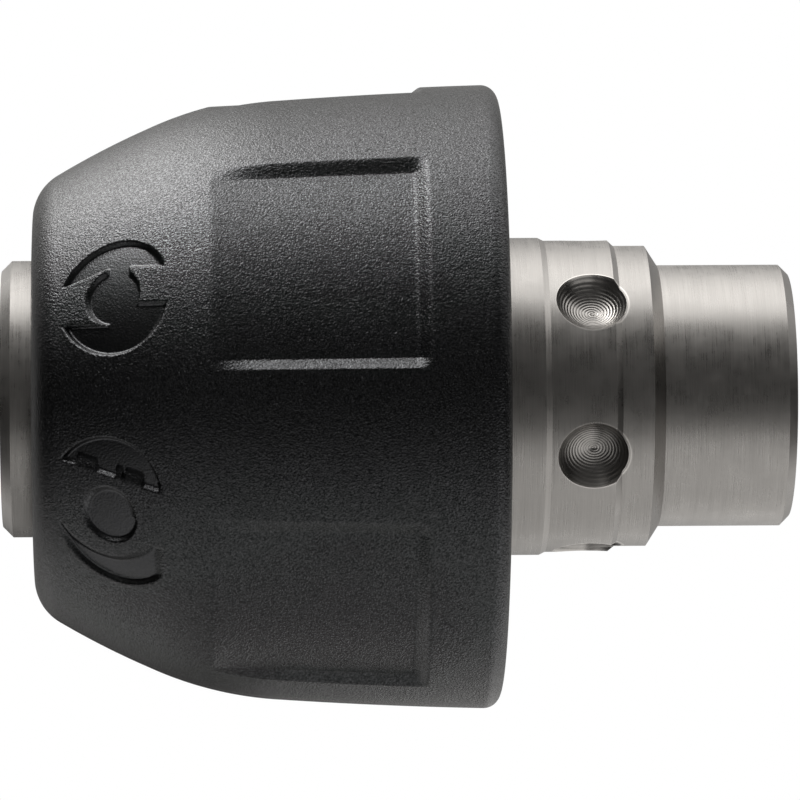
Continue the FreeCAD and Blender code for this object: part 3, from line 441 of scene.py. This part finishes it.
def column_angles():
    """Angles round the sleeve, closest together at the panel walls and the symbols."""
    angle = np.arange(0, 360, ANGLE_GRID)
    density = np.full_like(angle, 1 / COLUMN_STEP)
    for panel in range(PANELS):
        for side, wall in zip((-1, 1), PANEL_WALLS):
            middle = PANEL_CENTRE + 360 / PANELS * panel + side * (PANEL_HALF - wall / 2)
            near = np.abs(degrees_between(angle, middle))
            density += (near < wall * 0.7) / WALL_COLUMN_STEP
    for _, centre in (OPEN_SYMBOL, LOCK_SYMBOL):
        near = np.abs(degrees_between(angle, centre))
        closer = np.maximum(density, 1 / SYMBOL_COLUMN_STEP)
        density = np.where(near < SYMBOL_COLUMNS, closer, density)
    total = np.concatenate([[0], np.cumsum(density) * ANGLE_GRID])
    count = int(total[-1])
    places = np.linspace(0, total[-1], count, endpoint=False)
    return np.interp(places, total, np.append(angle, 360.0))


def disc(u, v, centre_u, centre_v, radius):
    """How far outside a circle a place is."""
    return np.hypot(u - centre_u, v - centre_v) - radius


def band(u, v, top, foot):
    """Between two slanting lines, each given by its height at u = 0 and its slope."""
    return np.maximum(v - top[0] - top[1] * u, foot[0] + foot[1] * u - v)


def open_symbol(u, v):
    """Two curved arrows round a turning centre: below zero where it is engraved."""
    outside_hub = -disc(u, v, *OPEN_HUB)
    right = np.maximum.reduce([outside_hub, RIGHT_BAR_FROM - u, band(u, v, *RIGHT_BAR)])
    left = np.maximum.reduce([outside_hub, u - LEFT_BAR_TO, band(u, v, *LEFT_BAR)])
    return np.maximum(disc(u, v, *OPEN_DISC), -np.minimum(right, left))


def lock_symbol(u, v):
    """Two wider arrows round a dished button, with steep edges only where they show."""
    steep = np.zeros_like(u)
    for first, last in LOCK_TEETH:
        tooth = smooth(u, first, first + TOOTH_EDGE) * smooth(-u, -last, -last + TOOTH_EDGE)
        steep = np.maximum(steep, tooth)
    foot = (LOCK_FOOT[0] + LOCK_FOOT[1] * u - v) * (FAINT + (1 - FAINT) * steep)
    upper = np.maximum(disc(u, v, *LOCK_UPPER), foot)
    lower = np.maximum.reduce([disc(u, v, *LOCK_LOWER), -0.3 * disc(u, v, *LOCK_HOLLOW),
                               FAINT * (u - LOCK_LOWER_END), v - LOCK_LOWER_TOP])
    button = disc(u, v, *LOCK_BUTTON) * np.where(v > 0, *BUTTON_SLOPES)
    return np.minimum.reduce([upper, lower, button])


def relief(place, radius, length, angle):
    """How deep the surface lies under the plain outline, and the share of full grain."""
    panel_turn = (angle - PANEL_CENTRE + 180 / PANELS) % (360 / PANELS) - 180 / PANELS
    across = (ramp(panel_turn, -PANEL_HALF, -PANEL_HALF + PANEL_WALLS[0])
              * ramp(-panel_turn, -PANEL_HALF, -PANEL_HALF + PANEL_WALLS[1]))
    floor = FLOOR_AT_END[1] + (place - FLOOR_AT_END[0]) * FLOOR_SLOPE
    depth = np.maximum(0, radius - floor) * across * ramp(-place, -PANEL_END[1], -PANEL_END[0])
    grain = np.ones_like(depth)
    for (centre, turn), shape in ((OPEN_SYMBOL, open_symbol), (LOCK_SYMBOL, lock_symbol)):
        middle, girth = (np.interp(centre, place[:, 0], row[:, 0]) for row in (length, radius))
        away = degrees_between(angle, turn)
        u = length - middle
        v = np.radians(away) * girth
        inside = -shape(u, v)
        near = (np.abs(u) < SYMBOL_REACH) & (np.abs(v) < SYMBOL_REACH)
        sunk = np.where(near, smooth(inside, 0, SYMBOL_WALL), 0)
        depth = depth + SYMBOL_DEPTH * sunk
        grain = np.minimum(grain, 1 - SMOOTHER_IN_SYMBOLS * sunk)
    return depth, grain


def make_grip_sleeve():
    """The sleeve as rows of corners: its outside with the relief, then its inside."""
    outline = outer_profile()
    angles = column_angles()
    steps = np.hypot(*np.diff(outline, axis=0).T)
    length = np.concatenate([[0], np.cumsum(steps)])[:, None]
    tangent = np.gradient(outline, axis=0)
    tangent /= np.hypot(*tangent.T)[:, None]
    normal = np.stack([-tangent[:, 1], tangent[:, 0]], axis=1)
    shape = (len(outline), len(angles))
    place = np.broadcast_to(outline[:, :1], shape)
    radius = np.broadcast_to(outline[:, 1:], shape)
    depth, grain = relief(place, radius, np.broadcast_to(length, shape),
                          np.broadcast_to(angles[None, :], shape))
    on_side = (outline[:, 0] > RELIEF_SPAN[0]) & (outline[:, 0] < RELIEF_SPAN[1])
    depth = depth * on_side[:, None]
    x = place - depth * normal[:, :1]
    r = radius - depth * normal[:, 1:]
    inner = np.array(INSIDE)
    x = np.concatenate([x, np.broadcast_to(inner[:, :1], (len(inner), len(angles)))])
    r = np.concatenate([r, np.broadcast_to(inner[:, 1:], (len(inner), len(angles)))])
    grain = np.concatenate([grain, np.ones((len(inner), len(angles)))])
    turn = np.radians(angles)[None, :]
    corners = np.stack([x, -r * np.cos(turn), r * np.sin(turn)], axis=-1).reshape(-1, 3) * MM
    return grid_mesh("grip_sleeve_shell", corners, x.shape, grain.ravel())


def grid_mesh(name, corners, shape, grain):
    """A closed mesh of rows that each go once round the axis."""
    rows, columns = shape
    index = np.arange(rows * columns).reshape(shape)
    below = np.roll(index, -1, axis=0)
    faces = np.stack([index, np.roll(index, -1, axis=1), np.roll(below, -1, axis=1), below],
                     axis=-1).reshape(-1, 4)
    mesh = bpy.data.meshes.new(name)
    mesh.from_pydata(corners.tolist(), [], faces.tolist())
    attribute = mesh.attributes.new("grain", "FLOAT", "POINT")
    attribute.data.foreach_set("value", grain.astype(np.float32))
    mesh.validate()
    piece = bpy.data.objects.new(name, mesh)
    bpy.context.scene.collection.objects.link(piece)
    shade_by_angle(piece, SLEEVE_SHARP)
    return piece


def build_sleeve():
    """Put the fine sleeve in the CAD sleeve's place, on the body that turns with it."""
    sleeve = make_grip_sleeve()
    sleeve.data.materials.append(MATERIALS["grip_plastic"])
    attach(sleeve, "sleeve")
    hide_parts("grip_sleeve")


# ---------------------------------------------------------------- stage, light, camera

# The camera looks from a little to the nose's side, 2 degrees off square to the axis.
CAMERA_PLACE = Vector((-33.115, -430.6, -0.2)) * MM
CAMERA_AIM = Vector((-17.685, 0, -0.2)) * MM
CAMERA_FIELD = math.radians(7.32)
CAMERA_ROLL = math.radians(-0.32)
SENSOR_WIDTH = 36

FLOOR_HEIGHT = -0.075
FLOOR_SIZE = 1.1

# The soft box overhead: its place, what it points at, its size in metres and its watts.
BOX_PLACE = Vector((-0.02, -0.1, 0.8))
BOX_TARGET = Vector((-0.02, 0, 0))
BOX_SIZE = (0.5, 0.3)
BOX_POWER = 0.12


def aim(thing, target, roll=0.0):
    """Point a camera or a light at a target, then roll it about its line of sight."""
    direction = target - thing.location
    look = direction.to_track_quat("-Z", "Y")
    thing.rotation_euler = (look.to_matrix() @ Matrix.Rotation(roll, 3, "Z")).to_euler()


def make_soft_box():
    """One soft area light over the chuck, on top of the light of the world."""
    light = bpy.data.lights.new("overhead", "AREA")
    light.shape = "RECTANGLE"
    light.size, light.size_y = BOX_SIZE
    light.energy = BOX_POWER
    box = bpy.data.objects.new("overhead", light)
    box.location = BOX_PLACE
    bpy.context.scene.collection.objects.link(box)
    aim(box, BOX_TARGET)


def make_stage():
    """A pale floor under the chuck, kept out of its reflections."""
    bpy.ops.mesh.primitive_plane_add(size=FLOOR_SIZE, location=(0, 0, FLOOR_HEIGHT))
    floor = bpy.context.object
    floor.name = "floor"
    floor.visible_glossy = False
    floor.visible_diffuse = False
    paper = material_graph("floor_paper").finish(**{"Base Color": grey(0.85),
                                                    "Roughness": 0.9})
    floor.data.materials.append(paper)


# The studio as the object sees it: brightness by the direction's turn about the X axis, in
# degrees from the camera (0) through overhead (90) and behind (180) to below (270).
STUDIO = ((0, 0.070), (38, 0.060), (56, 0.10), (66, 0.42), (76, 1.3), (92, 1.6), (108, 1.6),
          (126, 1.0), (148, 0.45), (180, 0.30), (225, 1.0), (262, 0.85), (296, 0.95),
          (318, 0.90), (336, 0.20), (360, 0.070))
STUDIO_COLOUR = (1.0, 0.985, 0.96, 1)
# How much the light from above, from below and from everywhere changes with the
# direction's X part. ABOVE and BELOW are the Z parts where the first two begin and are full.
HIGH_GAIN = ((-1.0, 0.2), (-0.72, 0.30), (-0.64, 1.1), (-0.56, 4.9), (-0.45, 5.9), (-0.25, 3.1),
             (-0.1, 0.9), (0.05, 1.3), (1.0, 0.8))
LOW_GAIN = ((-1.0, 0.5), (-0.55, 0.85), (-0.2, 0.32), (-0.06, 0.03), (0.03, 0.6), (0.1, 1.2),
            (0.3, 0.9), (1.0, 0.9))
ABOVE = (0.3, 0.7)
BELOW = (0.0, -0.15)
SIDE_GAIN = ((-1.0, 0.05), (-0.88, 0.08), (-0.66, 1.0), (0.80, 1.0), (0.93, 0.08), (1.0, 0.05))


def curve(graph, value, points):
    """A value looked up on a broken line, by a colour ramp of shares of its highest point."""
    low = points[0][0]
    high = points[-1][0]
    top = max(height for _, height in points)
    lookup = graph.put("ShaderNodeValToRGB", {"Fac": graph.span(value, low, high)})
    stops = lookup.color_ramp.elements
    for _ in points[2:]:
        stops.new(0.5)
    for stop, (place, height) in zip(stops, points):
        stop.position = (place - low) / (high - low)
        stop.color = (height / top, height / top, height / top, 1)
    return graph.math("MULTIPLY", lookup.outputs[0], top)


def bend(graph, share, value):
    """One where the share is 0, and the value where it is 1."""
    return graph.math("ADD", 1.0, graph.math("MULTIPLY", share,
                                             graph.math("SUBTRACT", value, 1.0)))


def make_world():
    """White to the camera, and a studio of soft light to everything else."""
    world = bpy.data.worlds.new("studio")
    bpy.context.scene.world = world
    g = Graph(world)
    x, y, z = g.parts(g.put("ShaderNodeTexCoord").outputs["Generated"])
    turn = g.math("ARCTAN2", z, g.math("MULTIPLY", y, -1.0))
    degrees = g.math("MODULO", g.math("ADD", g.math("MULTIPLY", turn, 180 / math.pi), 360.0),
                     360.0)
    above = g.span(z, *ABOVE)
    below = g.span(z, *BELOW)
    gain = g.math("MULTIPLY", bend(g, above, curve(g, x, HIGH_GAIN)),
                  bend(g, below, curve(g, x, LOW_GAIN)))
    gain = g.math("MULTIPLY", gain, curve(g, x, SIDE_GAIN))
    strength = g.math("MULTIPLY", curve(g, degrees, STUDIO), gain)
    lit = g.put("ShaderNodeBackground", {"Color": STUDIO_COLOUR, "Strength": strength})
    seen = g.put("ShaderNodeBackground", {"Color": (1, 1, 1, 1), "Strength": 1.0})
    ray = g.put("ShaderNodeLightPath").outputs["Is Camera Ray"]
    mix = g.put("ShaderNodeMixShader", {0: ray, 1: lit.outputs[0], 2: seen.outputs[0]})
    output = g.put("ShaderNodeOutputWorld")
    g.tree.links.new(mix.outputs[0], output.inputs[0])


def make_camera():
    """The camera at the photograph's viewing angle."""
    data = bpy.data.cameras.new("camera")
    data.sensor_width = SENSOR_WIDTH
    data.lens = SENSOR_WIDTH / 2 / math.tan(CAMERA_FIELD / 2)
    data.clip_start = 0.01
    data.clip_end = 20
    camera = bpy.data.objects.new("camera", data)
    camera.location = CAMERA_PLACE
    bpy.context.scene.collection.objects.link(camera)
    aim(camera, CAMERA_AIM, CAMERA_ROLL)
    bpy.context.scene.camera = camera


paint_cad_nodes()
build_sleeve()
make_stage()
make_world()
make_soft_box()
make_camera()
bpy.context.scene.view_settings.view_transform = "Standard"
